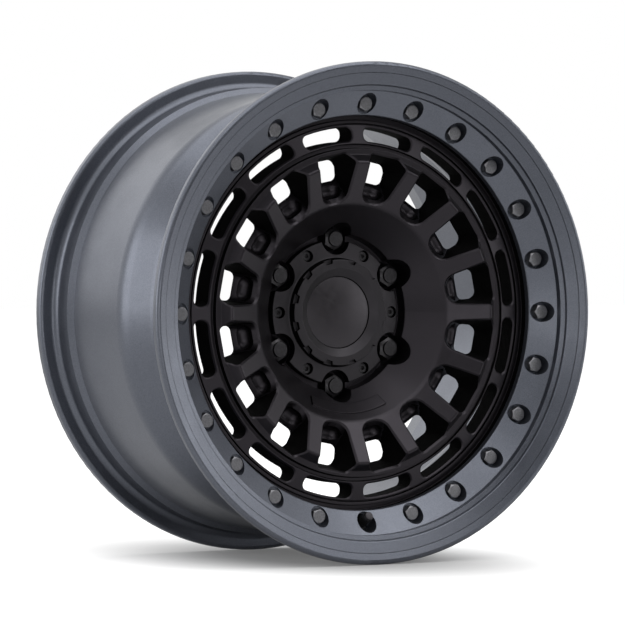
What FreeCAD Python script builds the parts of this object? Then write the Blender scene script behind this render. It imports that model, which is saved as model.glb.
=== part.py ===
import FreeCAD, Part
import math
import os

# A cast off-road alloy wheel, 17 x 9 inch, with its trim ring, centre cap, lug nuts and tyre valve.
# Millimetres. The wheel turns about Y, its face looks along -Y and +Z is up. The origin is the
# middle of the hub pad, which is also the rim's middle plane: the wheel has no offset.
# Radii are built from the bead seat inwards, and depths from the front lip backwards.

# Rim
RIM_WIDTH = 228.6
BEAD_SEAT_R = 218.3
BEAD_SEAT_WIDTH = 20.0
BEAD_TAPER_DEG = 5.0
BEAD_HEEL_R = 6.5
FLANGE_HEIGHT = 16.7
FLANGE_THICKNESS = 11.2
FLANGE_ROUND = 3.5
HUMP_HEIGHT = 1.4
HUMP_PEAK = 3.2
HUMP_WIDTH = 8.0
WELL_DEPTH = 28.3
WELL_WIDTH = 27.0
WELL_FRONT_RUN = 24.3
WELL_BACK_RUN = 30.0
WELL_FRONT_ROUND = 12.0
WELL_BACK_ROUND = 18.0
BARREL_DROP = 8.3
BARREL_TAPER = 3.0
BARREL_ROUND = 30.0
RIM_WALL = 8.0
REAR_ROUND = 10.0

# Lip and trim ring
LIP_BAND = 10.6
LIP_FALL = 3.5
RING_WIDTH = 38.9
RING_SINK = 0.4
RING_CREST_INSET = 13.4
RING_BAND = 10.9
RING_BAND_FALL = 3.6
RING_FLANGE_THICKNESS = 2.6
RING_CONE_DEG = 34.0
RING_EDGE_THICKNESS = 6.0
RING_SEAT_DEPTH = 38.5
RING_SPIGOT_INSET = 16.1
RING_CLEARANCE = 0.3
RING_EDGE_ROUND = 2.2
RING_CREST_ROUND = 4.0
RING_BROW_ROUND = 1.2

# Ring bolts
BOLT_COUNT = 24
BOLT_INSET = 10.8
BOLT_D = 8.0
BOLT_HEX = 13.0
BOLT_WASHER_FACE = 0.6
BOLT_TOP_INSET = 0.6
BOLT_HEAD_HEIGHT = 8.0
BOLT_POCKET_D = 19.4
BOLT_FLOOR = 4.5
BOLT_REACH = 9.0
SHANK_CLEARANCE = 0.15

# Slotted band and spokes
SPOKES = 16
RIB_BAND = 8.5
RIB_FLOOR = 7.0
RIB_INSET = 1.6
RIB_HEIGHT = 2.7
RIB_WIDTH = 2.6
RIB_DRAFT = 0.3
SLOT_BAND = 18.0
SLOT_BAND_FALL = 3.5
SLOT_EDGE = 0.8
SLOT_SPAN_DEG = 19.2
SLOT_CORNER_R = 5.8
SLOT_BEVEL = 1.6
GROOVE_WIDTH = 4.5
GROOVE_DEPTH = 4.4
GROOVE_DRAFT = 0.8
FACE_DEPTH = 37.5
CROWN_INSET = 13.0
CROWN_RISE = 8.0
CROWN_RUN = 7.5
CROWN_ROUND = 3.0
SPOKE_FALL = 20.5
BROW_ROUND = 14.0
DISC_THICKNESS = 27.5
WINDOW_RIM = 3.0
WINDOW_LENGTH = 48.5
WINDOW_FOOT_HALF = 12.0
WINDOW_SHOULDER_HALF = 20.3
WINDOW_TOP_HALF = 15.2
WINDOW_FOOT_R = 12.0
WINDOW_CORNER_R = 5.0
WINDOW_BEVEL = 2.0
WINDOW_FOOT_RUN = 20.0
WINDOW_TOP_DRAFT = 4.5
WINDOW_SHOULDER_DRAFT = 7.0
BACK_FOOT_HALF = 13.2
BACK_SHOULDER_HALF = 14.6
BACK_TOP_HALF = 11.5
BACK_CORNER_R = 6.0
SCOOP_R = 8.0
SCOOP_DEPTH = 4.2
SCOOP_LENGTH = 7.5
POCKET_INNER_GAP = 7.0
POCKET_OUTER_GAP = 3.5
POCKET_HALF = 5.5
POCKET_DEPTH = 10.0
POCKET_CORNER_R = 4.0
SPOKE_BACK_ROUND = 12.0
BARREL_FOOT_ROUND = 6.0

# Hub
HUB_BORE_R = 53.05
HUB_BORE_LENGTH = 18.0
BORE_CHAMFER = 2.0
PAD_R = 90.0
PAD_CHAMFER = 3.0
HUB_DRAFT = 5.0
HUB_BACK_ROUND = 14.0
HUB_DEPTH = 34.0
CAP_OPENING_R = 49.0
DISH_FOOT_GAP = 5.2
DISH_FOOT_RISE = 11.0
DISH_FOOT_DRAFT = 1.0
DISH_FOOT_ROUND = 1.5
LUGS = 6
LUG_CIRCLE_D = 139.7
STUD_HOLE_R = 7.6
STUD_HOLE_LENGTH = 14.0
SEAT_CONE_DEG = 60.0
SEAT_R = 12.5
LUG_POCKET_R = 15.3
PAD_POCKET_WIDTH = 19.0
PAD_POCKET_DEPTH = 12.0
PAD_POCKET_DEG = 26.0
PAD_POCKET_CORNER_R = 5.0
PLATE_SPAN_DEG = 50.0
PLATE_START = 17.5
PLATE_LENGTH = 13.4
PLATE_HEIGHT = 1.6
PLATE_ROOT = 1.0

# Lug nuts
NUT_HEX = 19.0
NUT_BULGE_R = 12.0
NUT_BULGE_LAND = 2.0
NUT_THREAD_R = 6.3
NUT_LENGTH = 28.4
NUT_TOP_R = 7.3
NUT_TOP_HEIGHT = 3.0
NUT_TOP_ROUND = 0.8
NUT_SHOULDER = 2.0
NUT_BASE_GAP = 1.1
NUT_CAP_THICKNESS = 5.0
SEAT_CLEARANCE = 0.1

# Centre cap
CAP_FLANGE_GAP = 6.55
CAP_FLANGE_ROUND = 1.5
CAP_FLANGE_EDGE = 8.0
CAP_FLANGE_ROOT = 10.0
CAP_SPIGOT = 4.0
CAP_WALL = 3.1
CAP_SPIGOT_CLEARANCE = 0.3
CAP_SPIGOT_ROUND = 0.8
CAP_INNER_ROUND = 2.0
BEZEL_R = 50.3
BEZEL_FOOT = 1.4
BEZEL_HEIGHT = 18.0
BEZEL_LAND = 8.3
BEZEL_CONE = 7.8
BEZEL_CONE_FALL = 5.0
BEZEL_ROUND = 1.0
BEZEL_INNER_ROUND = 0.6
NOTCHES = 12
NOTCH_DEPTH = 3.4
NOTCH_HEIGHT = 3.6
NOTCH_FOOT_WIDTH = 6.6
NOTCH_MOUTH_WIDTH = 10.2
DISC_RECESS = 3.4
DISC_EDGE = 2.6
DISC_CROWN = 3.4
DISC_CLEARANCE = 0.4
CAP_SCREW_INSET = 7.0
CAP_SCREW_D = 5.0
CAP_SCREW_HEAD_D = 9.2
CAP_SCREW_HEAD = 3.6
CAP_SCREW_ROUND = 0.5
CAP_SCREW_POCKET_D = 11.2
CAP_SCREW_FLOOR = 2.6
CAP_SCREW_REACH = 10.0
CAP_SCREW_HEX = 4.0
CAP_SCREW_HEX_DEPTH = 2.2

# Tyre valve, along its own axis
VALVE_TILT_DEG = 25.0
VALVE_SEAT_DEPTH = 4.0
VALVE_RIM_THICKNESS = 5.2
VALVE_INNER_ROOM = 6.0
VALVE_HOLE_R = 5.65
VALVE_SPOT_R = 8.7
VALVE_INNER_SPOT_R = 9.3
VALVE_WASHER_R = 7.6
VALVE_WASHER_THICKNESS = 1.2
VALVE_NUT_HEX = 12.5
VALVE_NUT_HEIGHT = 5.0
VALVE_NUT_INSET = 0.3
VALVE_NUT_CHAMFER = 0.9
VALVE_BODY_R = 4.9
VALVE_BODY_HEIGHT = 9.0
VALVE_THREAD_R = 3.85
VALVE_HEIGHT = 19.0
VALVE_STEP = 1.0
VALVE_TIP_ROUND = 0.4
VALVE_FLANGE_R = 8.8
VALVE_FLANGE_THICKNESS = 3.0
VALVE_FLANGE_ROUND = 1.0
GROMMET_R = 8.6
GROMMET_THICKNESS = 2.6
VALVE_CLEARANCE = 0.2
CORE_BORE_R = 2.6
AIR_BORE_R = 1.9
CORE_LENGTH = 8.0
CORE_TOP_DEPTH = 2.0
CORE_CLEARANCE = 0.15
CORE_LEDGE = 2.0
CORE_CHAMBER_R = 1.5
CORE_LEDGE_R = 0.8
CORE_ROUND = 0.3
CORE_WELL_SPARE = 2.0
PIN_R = 0.45
PIN_HEAD_R = 1.15
PIN_HEAD_HEIGHT = 0.6
PIN_HEAD_ROUND = 0.2
PIN_SEAL_R = 1.55
PIN_SEAL_HEIGHT = 1.6
PIN_TAIL = 0.8
PIN_SEAL_GAP = 0.05
SPRING_WIRE_R = 0.25
SPRING_R = 0.95
SPRING_TURNS = 5
VALVE_CAP_R = 4.85
VALVE_CAP_TIP_R = 4.0
VALVE_CAP_SKIRT = 8.4
VALVE_CAP_TOP = 3.5
VALVE_CAP_ROUND = 0.8
VALVE_CAP_CLEARANCE = 0.3
CAP_SEAL_THICKNESS = 1.6

ORIGIN = FreeCAD.Vector(0, 0, 0)
WHEEL_AXIS = FreeCAD.Vector(0, 1, 0)
TILT_AXIS = FreeCAD.Vector(0, 0, 1)
CUT_MARGIN = 2.0

# Levels along the axis
lip_y = -(RIM_WIDTH / 2 + FLANGE_THICKNESS)
seat_y = lip_y + RING_SEAT_DEPTH
face_y = lip_y + FACE_DEPTH
disc_back_y = face_y + DISC_THICKNESS
bolt_floor_y = seat_y - BOLT_FLOOR
hub_front_y = -HUB_DEPTH
crown_y = face_y - CROWN_RISE
brow_y = crown_y + SPOKE_FALL

# Radii, from the bead seat inwards
flange_r = BEAD_SEAT_R + FLANGE_HEIGHT
toe_r = BEAD_SEAT_R - BEAD_SEAT_WIDTH * math.tan(math.radians(BEAD_TAPER_DEG))
well_r = BEAD_SEAT_R - WELL_DEPTH
barrel_r = BEAD_SEAT_R - BARREL_DROP
seam_r = flange_r - LIP_BAND
ring_inner_r = seam_r - RING_WIDTH
ring_spigot_r = seam_r - RING_SPIGOT_INSET
bolt_r = ring_inner_r + BOLT_INSET
band_outer_r = ring_inner_r - RIB_BAND
band_inner_r = band_outer_r - SLOT_BAND
spoke_r = band_inner_r - GROOVE_WIDTH
crown_r = spoke_r - CROWN_INSET
window_outer_r = spoke_r - WINDOW_RIM
window_inner_r = window_outer_r - WINDOW_LENGTH
lug_r = LUG_CIRCLE_D / 2
dish_foot_r = lug_r + DISH_FOOT_GAP
cap_flange_r = dish_foot_r - CAP_FLANGE_GAP
cap_screw_r = cap_flange_r - CAP_SCREW_INSET


def rounded_wire(corners, place):
    """Closed wire through corners (u, v, radius), each rounded by an arc, with place(u, v) in space."""
    ends = []
    for i, (u, v, radius) in enumerate(corners):
        before = corners[i - 1]
        after = corners[(i + 1) % len(corners)]
        corner = FreeCAD.Vector(u, v, 0)
        if radius == 0:
            ends.append((corner, None, corner))
            continue
        back = (FreeCAD.Vector(before[0], before[1], 0) - corner).normalize()
        ahead = (FreeCAD.Vector(after[0], after[1], 0) - corner).normalize()
        half = back.getAngle(ahead) / 2
        middle = (back + ahead).normalize()
        run = radius / math.tan(half)
        reach = radius / math.sin(half) - radius
        ends.append((corner + back * run, corner + middle * reach, corner + ahead * run))
    edges = []
    for i, (start, middle, end) in enumerate(ends):
        following = ends[(i + 1) % len(ends)][0]
        if middle is not None:
            arc = [place(p.x, p.y) for p in (start, middle, end)]
            edges.append(Part.Arc(*arc).toShape())
        edges.append(Part.LineSegment(place(end.x, end.y), place(following.x, following.y)).toShape())
    return Part.Wire(edges)


def half_plane(r, y):
    """Point of a turned profile: radius and place along the axis."""
    return FreeCAD.Vector(r, y, 0)


def turned(corners, angle=360.0):
    """Solid of revolution about the wheel's axis, from (r, y, radius) corners."""
    face = Part.Face(rounded_wire(corners, half_plane))
    return face.revolve(ORIGIN, WHEEL_AXIS, angle)


def rod(radius, y_front, y_back, r=0.0):
    """Cylinder along the axis, its centre line at radius r."""
    return Part.makeCylinder(radius, y_back - y_front, FreeCAD.Vector(r, y_front, 0), WHEEL_AXIS)


def hex_rod(across, y_front, y_back):
    """Hexagonal prism along the axis."""
    corner_r = across / math.sqrt(3)
    points = []
    for k in range(7):
        angle = math.radians(60 * k)
        points.append(FreeCAD.Vector(corner_r * math.cos(angle), y_front, corner_r * math.sin(angle)))
    return Part.Face(Part.makePolygon(points)).extrude(FreeCAD.Vector(0, y_back - y_front, 0))


def around(shape, count, first_deg=0.0):
    """Copies of a shape, evenly spaced about the wheel's axis."""
    return [shape.rotated(ORIGIN, WHEEL_AXIS, first_deg + 360.0 * k / count) for k in range(count)]


def at_radius(shape, r):
    return shape.translated(FreeCAD.Vector(r, 0, 0))


def on_slope(r0, y0, fall, depth):
    """Placer for flat outlines laid on a face through (r0, y0) that falls back with smaller radius."""
    def place(x, z):
        return FreeCAD.Vector(x, y0 - (x - r0) * fall + depth, z)
    return place


# Casting


def casting_profile():
    """Section of the one-piece casting, from the lip round the rim, the hub and the face."""
    bead_y = RIM_WIDTH / 2
    toe_y = bead_y - BEAD_SEAT_WIDTH
    hump_y = toe_y - HUMP_PEAK
    hump_end_y = toe_y - HUMP_WIDTH
    well_front_y = -hump_end_y + WELL_FRONT_RUN
    well_back_y = well_front_y + WELL_WIDTH
    barrel_y = well_back_y + WELL_BACK_RUN
    rear_r = barrel_r + BARREL_TAPER
    recess_r = ring_spigot_r + RING_CLEARANCE
    lip_r = seam_r + RING_CLEARANCE
    rebate_y = lip_y + LIP_FALL + RING_FLANGE_THICKNESS
    rebate_slope = RING_BAND_FALL / RING_BAND
    gap_r = ring_inner_r + RING_CLEARANCE
    gap_y = seat_y + RIB_FLOOR
    rib_r = band_outer_r + RIB_INSET
    groove_y = face_y + GROOVE_DEPTH
    band_y = face_y + GROOVE_DEPTH / 2
    spoke_back_r = window_inner_r + WINDOW_BEVEL + WINDOW_FOOT_RUN
    hub_wall_r = PAD_R + HUB_DRAFT
    hub_wall_y = -HUB_DEPTH - HUB_DRAFT
    rim = [
        (lip_r, lip_y + LIP_FALL, 0),
        (flange_r, lip_y, FLANGE_ROUND),
        (flange_r, -bead_y, FLANGE_ROUND),
        (BEAD_SEAT_R, -bead_y, BEAD_HEEL_R),
        (toe_r, -toe_y, 0),
        (toe_r + HUMP_HEIGHT, -hump_y, 0),
        (toe_r - HUMP_HEIGHT, -hump_end_y, 0),
        (well_r, well_front_y, WELL_FRONT_ROUND),
        (well_r, well_back_y, WELL_BACK_ROUND),
        (barrel_r, barrel_y, BARREL_ROUND),
        (rear_r, hump_end_y, 0),
        (toe_r + HUMP_HEIGHT, hump_y, 0),
        (toe_r, toe_y, 0),
        (BEAD_SEAT_R, bead_y, BEAD_HEEL_R),
        (flange_r, bead_y, FLANGE_ROUND),
        (flange_r, -lip_y, FLANGE_ROUND),
    ]
    inside = [
        (flange_r - FLANGE_THICKNESS, -lip_y, FLANGE_ROUND),
        (BEAD_SEAT_R - RIM_WALL, bead_y, REAR_ROUND),
        (rear_r - RIM_WALL, hump_end_y, REAR_ROUND),
        (barrel_r - RIM_WALL, barrel_y, BARREL_ROUND),
        (well_r - RIM_WALL, well_back_y, WELL_BACK_ROUND),
        (well_r - RIM_WALL, disc_back_y, BARREL_FOOT_ROUND),
        (spoke_back_r, disc_back_y, SPOKE_BACK_ROUND),
        (hub_wall_r, hub_wall_y, HUB_BACK_ROUND),
        (PAD_R, -PAD_CHAMFER, 0),
        (PAD_R - PAD_CHAMFER, 0, 0),
    ]
    hub = [
        (HUB_BORE_R + BORE_CHAMFER, 0, 0),
        (HUB_BORE_R, -BORE_CHAMFER, 0),
        (HUB_BORE_R, -HUB_BORE_LENGTH, 0),
        (CAP_OPENING_R, -HUB_BORE_LENGTH, 0),
        (CAP_OPENING_R, hub_front_y, 0),
        (dish_foot_r - DISH_FOOT_DRAFT, hub_front_y, 0),
        (dish_foot_r, hub_front_y - DISH_FOOT_RISE, DISH_FOOT_ROUND),
    ]
    face = [
        (window_inner_r, brow_y, BROW_ROUND),
        (crown_r, crown_y, CROWN_ROUND),
        (crown_r + CROWN_RUN, face_y, 0),
        (spoke_r, face_y, 0),
        (spoke_r + GROOVE_DRAFT, groove_y, 0),
        (band_inner_r - GROOVE_DRAFT, groove_y, 0),
        (band_inner_r, band_y, 0),
        (band_outer_r, band_y + SLOT_BAND_FALL, 0),
        (band_outer_r + RIB_DRAFT, gap_y, 0),
        (rib_r - RIB_DRAFT, gap_y, 0),
        (rib_r, gap_y - RIB_HEIGHT, 0),
        (rib_r + RIB_WIDTH, gap_y - RIB_HEIGHT, 0),
        (rib_r + RIB_WIDTH + RIB_DRAFT, gap_y, 0),
        (gap_r, gap_y, 0),
        (gap_r, seat_y, 0),
    ]
    ring_recess = [
        (recess_r, seat_y, 0),
        (recess_r, rebate_y + (lip_r - recess_r) * rebate_slope, 0),
        (lip_r, rebate_y, 0),
    ]
    return rim + inside + hub + face + ring_recess


def on_spokes(depth):
    """Placer for outlines laid on the spokes' front, which climbs to the crown and drops to the band."""
    climb = SPOKE_FALL / (crown_r - window_inner_r)
    drop = CROWN_RISE / CROWN_RUN

    def place(x, z):
        r = math.hypot(x, z)
        if r < crown_r:
            return FreeCAD.Vector(x, crown_y + (crown_r - r) * climb + depth, z)
        return FreeCAD.Vector(x, min(face_y, crown_y + (r - crown_r) * drop) + depth, z)
    return place


def on_level(y):
    """Placer for flat outlines square to the axis."""
    def place(x, z):
        return FreeCAD.Vector(x, y, z)
    return place


def window_outline(radii, halves, rounding, place):
    """Shield-shaped outline from the radii and half widths of a window's foot, shoulders and top."""
    foot, shoulder, top = radii
    foot_half, shoulder_half, top_half = halves
    foot_round, corner_round = rounding
    corners = [
        (foot, -foot_half, foot_round),
        (shoulder, -shoulder_half, corner_round),
        (top, -top_half, corner_round),
        (top, top_half, corner_round),
        (shoulder, shoulder_half, corner_round),
        (foot, foot_half, foot_round),
    ]
    return rounded_wire(corners, place)


def window_tool():
    """One window: bevelled along the crowned face, then narrowing to a small opening at the disc's back."""
    bevel = WINDOW_BEVEL
    mouth_radii = (window_inner_r, crown_r, window_outer_r)
    mouth_halves = (WINDOW_FOOT_HALF + bevel / 2, WINDOW_SHOULDER_HALF + bevel, WINDOW_TOP_HALF + bevel / 2)
    mouth_round = (WINDOW_FOOT_R + bevel / 2, WINDOW_CORNER_R + bevel / 2)
    mouth = (mouth_radii, mouth_halves, mouth_round)
    throat_radii = (window_inner_r + bevel, crown_r, window_outer_r - bevel)
    throat_halves = (WINDOW_FOOT_HALF, WINDOW_SHOULDER_HALF, WINDOW_TOP_HALF)
    throat = (throat_radii, throat_halves, (WINDOW_FOOT_R, WINDOW_CORNER_R))
    back_top_r = window_outer_r - bevel - WINDOW_TOP_DRAFT
    back_radii = (window_inner_r + bevel + WINDOW_FOOT_RUN, back_top_r - WINDOW_SHOULDER_DRAFT, back_top_r)
    back_halves = (BACK_FOOT_HALF, BACK_SHOULDER_HALF, BACK_TOP_HALF)
    back = (back_radii, back_halves, (BACK_CORNER_R, BACK_CORNER_R))
    sections = [
        window_outline(*mouth, on_level(crown_y - CUT_MARGIN)),
        window_outline(*mouth, on_spokes(0.0)),
        window_outline(*throat, on_spokes(bevel)),
        window_outline(*back, on_level(disc_back_y)),
        window_outline(*back, on_level(disc_back_y + CUT_MARGIN)),
    ]
    return Part.makeLoft(sections, True, True)


def scoop_tool():
    """Spoon-shaped hollow across the sloping foot wall of one window."""
    front = FreeCAD.Vector(window_inner_r + WINDOW_BEVEL, brow_y + WINDOW_BEVEL, 0)
    back = FreeCAD.Vector(window_inner_r + WINDOW_BEVEL + WINDOW_FOOT_RUN, disc_back_y, 0)
    along = (back - front).normalize()
    out = FreeCAD.Vector(along.y, -along.x, 0)
    centre = (front + back) * 0.5 + out * (SCOOP_R - SCOOP_DEPTH)
    across = FreeCAD.Vector(0, 0, SCOOP_LENGTH / 2)
    middle = Part.makeCylinder(SCOOP_R, SCOOP_LENGTH, centre - across, TILT_AXIS)
    return middle.fuse([Part.makeSphere(SCOOP_R, centre - across), Part.makeSphere(SCOOP_R, centre + across)])


def spoke_pocket_tool():
    """Lightening pocket cast into the back of one spoke."""
    foot = window_inner_r + WINDOW_FOOT_RUN + POCKET_INNER_GAP
    top = window_outer_r - POCKET_OUTER_GAP
    corners = [
        (foot, -POCKET_HALF, POCKET_CORNER_R),
        (top, -POCKET_HALF, POCKET_CORNER_R),
        (top, POCKET_HALF, POCKET_CORNER_R),
        (foot, POCKET_HALF, POCKET_CORNER_R),
    ]
    floor = Part.Face(rounded_wire(corners, on_level(disc_back_y - POCKET_DEPTH)))
    return floor.extrude(FreeCAD.Vector(0, POCKET_DEPTH + CUT_MARGIN, 0))


def arc_slot_wire(r_in, r_out, half_deg, corner_r, place):
    """Outline of an annular slot centred on X, its four corners rounded."""
    half = math.radians(half_deg)
    edges = []
    joints = []
    for r_edge, r_centre in ((r_out, r_out - corner_r), (r_in, r_in + corner_r)):
        lean = math.asin(corner_r / r_centre)
        turn = half - lean
        centre = FreeCAD.Vector(r_centre * math.cos(turn), r_centre * math.sin(turn), 0)
        on_arc = FreeCAD.Vector(r_edge * math.cos(turn), r_edge * math.sin(turn), 0)
        r_flank = r_centre * math.cos(lean)
        on_flank = FreeCAD.Vector(r_flank * math.cos(half), r_flank * math.sin(half), 0)
        middle = centre + ((on_arc - centre) + (on_flank - centre)).normalize() * corner_r
        joints.append((on_arc, middle, on_flank, r_edge))
    outer, inner = joints

    def arc(*points):
        return Part.Arc(*[place(p.x, p.y) for p in points]).toShape()

    def line(a, b):
        return Part.LineSegment(place(a.x, a.y), place(b.x, b.y)).toShape()

    def mirrored(p):
        return FreeCAD.Vector(p.x, -p.y, 0)

    edges.append(arc(mirrored(outer[0]), FreeCAD.Vector(outer[3], 0, 0), outer[0]))
    edges.append(arc(outer[0], outer[1], outer[2]))
    edges.append(line(outer[2], inner[2]))
    edges.append(arc(inner[2], inner[1], inner[0]))
    edges.append(arc(inner[0], FreeCAD.Vector(inner[3], 0, 0), mirrored(inner[0])))
    edges.append(arc(mirrored(inner[0]), mirrored(inner[1]), mirrored(inner[2])))
    edges.append(line(mirrored(inner[2]), mirrored(outer[2])))
    edges.append(arc(mirrored(outer[2]), mirrored(outer[1]), mirrored(outer[0])))
    return Part.Wire(edges)


def slot_tool():
    """One curved slot through the outer band, bevelled at its mouth."""
    fall = -SLOT_BAND_FALL / SLOT_BAND
    sections = []
    for grow, depth in (
        (SLOT_BEVEL + CUT_MARGIN, -CUT_MARGIN),
        (0.0, SLOT_BEVEL),
        (0.0, DISC_THICKNESS + CUT_MARGIN),
    ):
        place = on_slope(band_inner_r, face_y + GROOVE_DEPTH / 2, fall, depth)
        r_in = band_inner_r + SLOT_EDGE + SLOT_BEVEL - grow
        r_out = band_outer_r - SLOT_EDGE - SLOT_BEVEL + grow
        half_deg = SLOT_SPAN_DEG / 2 + math.degrees((grow - SLOT_BEVEL) / (r_in + r_out) * 2)
        sections.append(arc_slot_wire(r_in, r_out, half_deg, SLOT_CORNER_R + grow / 2, place))
    return Part.makeLoft(sections, True, True)


def lug_tool():
    """Stud hole, conical seat and round pocket of one lug."""
    floor_y = seat_floor_y()
    hole = turned([
        (0, CUT_MARGIN, 0),
        (STUD_HOLE_R, CUT_MARGIN, 0),
        (STUD_HOLE_R, -STUD_HOLE_LENGTH, 0),
        (SEAT_R, floor_y, 0),
        (LUG_POCKET_R, floor_y, 0),
        (LUG_POCKET_R, face_y, 0),
        (0, face_y, 0),
    ])
    return at_radius(hole, lug_r)


def seat_floor_y():
    """Depth of the wide end of the lug's conical seat."""
    return -STUD_HOLE_LENGTH - (SEAT_R - STUD_HOLE_R) / math.tan(math.radians(SEAT_CONE_DEG / 2))


def pad_pocket_tool():
    """Lightening pocket cast into the pad between two lugs."""
    r_in = lug_r - PAD_POCKET_WIDTH / 2
    r_out = lug_r + PAD_POCKET_WIDTH / 2
    wire = arc_slot_wire(r_in, r_out, PAD_POCKET_DEG / 2, PAD_POCKET_CORNER_R, on_level(-PAD_POCKET_DEPTH))
    return Part.Face(wire).extrude(FreeCAD.Vector(0, PAD_POCKET_DEPTH + CUT_MARGIN, 0))


def name_plate():
    """Bare raised arc on the dish below the cap."""
    foot = FreeCAD.Vector(dish_foot_r, hub_front_y - DISH_FOOT_RISE, 0)
    brow = FreeCAD.Vector(window_inner_r, brow_y, 0)
    along = (brow - foot).normalize()
    out = FreeCAD.Vector(along.y, -along.x, 0)
    start = foot + along * PLATE_START
    end = start + along * PLATE_LENGTH
    root = out * PLATE_ROOT
    top = out * PLATE_HEIGHT
    section = [start - root, end - root, end + top, start + top]
    plate = turned([(p.x, p.y, 0) for p in section], PLATE_SPAN_DEG)
    return plate.rotated(ORIGIN, WHEEL_AXIS, 90 - PLATE_SPAN_DEG / 2)


def wheel_casting():
    casting = turned(casting_profile()).fuse(name_plate())
    bolt_end_y = seat_y + BOLT_REACH + CUT_MARGIN
    thread_hole = rod(BOLT_D / 2 + SHANK_CLEARANCE, seat_y - CUT_MARGIN, bolt_end_y, bolt_r)
    screw_end_y = hub_front_y + CAP_SCREW_REACH + CUT_MARGIN
    cap_hole = rod(CAP_SCREW_D / 2 + SHANK_CLEARANCE, hub_front_y - CUT_MARGIN, screw_end_y, cap_screw_r)
    tools = around(window_tool(), SPOKES, 180.0 / SPOKES)
    tools += around(scoop_tool(), SPOKES, 180.0 / SPOKES)
    tools += around(spoke_pocket_tool(), SPOKES)
    tools += around(slot_tool(), SPOKES, 180.0 / SPOKES)
    tools += around(lug_tool(), LUGS, 180.0 / LUGS)
    tools += around(pad_pocket_tool(), LUGS)
    tools += around(cap_hole, LUGS)
    tools += bolt_places(thread_hole)
    tools += valve_cuts()
    return casting.cut(tools)


# Trim ring and its bolts


def bolt_places(shape):
    """Copies at every ring bolt, leaving out the lowest place, which the valve takes."""
    places = around(shape, BOLT_COUNT, 90.0)
    return places[1:]


def trim_ring():
    """Ring bolted over the face's outer edge, one round pocket for each bolt and one for the valve."""
    crest_r = seam_r - RING_CREST_INSET
    top_y = lip_y + LIP_FALL + RING_SINK
    brow_r = seam_r - RING_BAND
    band_end_y = top_y + RING_BAND_FALL
    edge_y = seat_y - RING_EDGE_THICKNESS
    crest_y = edge_y - (crest_r - ring_inner_r) * math.tan(math.radians(RING_CONE_DEG))
    back_y = lip_y + LIP_FALL + RING_FLANGE_THICKNESS - RING_CLEARANCE / 2
    slope = RING_BAND_FALL / RING_BAND
    ring = turned([
        (ring_inner_r, seat_y, 0),
        (ring_inner_r, edge_y, RING_EDGE_ROUND),
        (crest_r, crest_y, RING_CREST_ROUND),
        (brow_r, band_end_y, RING_BROW_ROUND),
        (seam_r, top_y, 0),
        (seam_r, back_y, 0),
        (ring_spigot_r, back_y + (seam_r - ring_spigot_r) * slope, 0),
        (ring_spigot_r, seat_y, 0),
    ])
    pocket = rod(BOLT_POCKET_D / 2, lip_y, bolt_floor_y, bolt_r)
    hole = rod(BOLT_D / 2 + RING_CLEARANCE, bolt_floor_y - CUT_MARGIN, seat_y + CUT_MARGIN, bolt_r)
    valve_way = rod(BOLT_POCKET_D / 2, lip_y, seat_y + CUT_MARGIN, bolt_r).rotated(ORIGIN, WHEEL_AXIS, 90)
    return ring.cut(bolt_places(pocket) + bolt_places(hole) + [valve_way, valve_spot()])


def ring_bolt():
    """Hex bolt, its head chamfered at the end and stepped to a washer face below."""
    top_y = bolt_floor_y - BOLT_HEAD_HEIGHT
    face_end_y = bolt_floor_y - BOLT_WASHER_FACE
    corner_r = BOLT_HEX / math.sqrt(3)
    chamfer = corner_r - BOLT_HEX / 2 + BOLT_TOP_INSET
    blank = turned([
        (0, top_y, 0),
        (corner_r - chamfer, top_y, 0),
        (corner_r, top_y + chamfer, 0),
        (corner_r, face_end_y, 0),
        (0, face_end_y, 0),
    ])
    head = hex_rod(BOLT_HEX, top_y, face_end_y).common(blank)
    washer_face = rod(BOLT_HEX / 2, face_end_y, bolt_floor_y)
    shank = rod(BOLT_D / 2, face_end_y, seat_y + BOLT_REACH)
    return at_radius(head.fuse([washer_face, shank]).removeSplitter(), bolt_r)


def ring_bolts():
    return Part.makeCompound(bolt_places(ring_bolt()))


# Hub fittings


def lug_nut():
    """Closed nut: a bulge with a conical seat, a hex body and a round flat end."""
    slope = math.tan(math.radians(SEAT_CONE_DEG / 2))
    base_y = -STUD_HOLE_LENGTH - NUT_BASE_GAP
    base_r = STUD_HOLE_R + NUT_BASE_GAP * slope - SEAT_CLEARANCE
    bulge_y = base_y - (NUT_BULGE_R - base_r) / slope
    land_y = bulge_y - NUT_BULGE_LAND
    corner_r = NUT_HEX / math.sqrt(3)
    end_y = base_y - NUT_LENGTH
    shoulder_y = end_y + NUT_TOP_HEIGHT
    bulge = turned([
        (0, base_y, 0),
        (base_r, base_y, 0),
        (NUT_BULGE_R, bulge_y, 0),
        (NUT_BULGE_R, land_y, 0),
        (NUT_HEX / 2, land_y - (NUT_BULGE_R - NUT_HEX / 2), 0),
        (0, land_y - (NUT_BULGE_R - NUT_HEX / 2), 0),
    ])
    blank = turned([
        (0, bulge_y, 0),
        (corner_r, bulge_y, 0),
        (corner_r, shoulder_y + NUT_SHOULDER, 0),
        (NUT_TOP_R, shoulder_y, 0),
        (NUT_TOP_R, end_y, NUT_TOP_ROUND),
        (0, end_y, 0),
    ])
    body = hex_rod(NUT_HEX, end_y, bulge_y).common(blank)
    bore = rod(NUT_THREAD_R, end_y + NUT_CAP_THICKNESS, base_y)
    return at_radius(body.fuse(bulge).cut(bore), lug_r)


def lug_nuts():
    return Part.makeCompound(around(lug_nut(), LUGS, 180.0 / LUGS))


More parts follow.
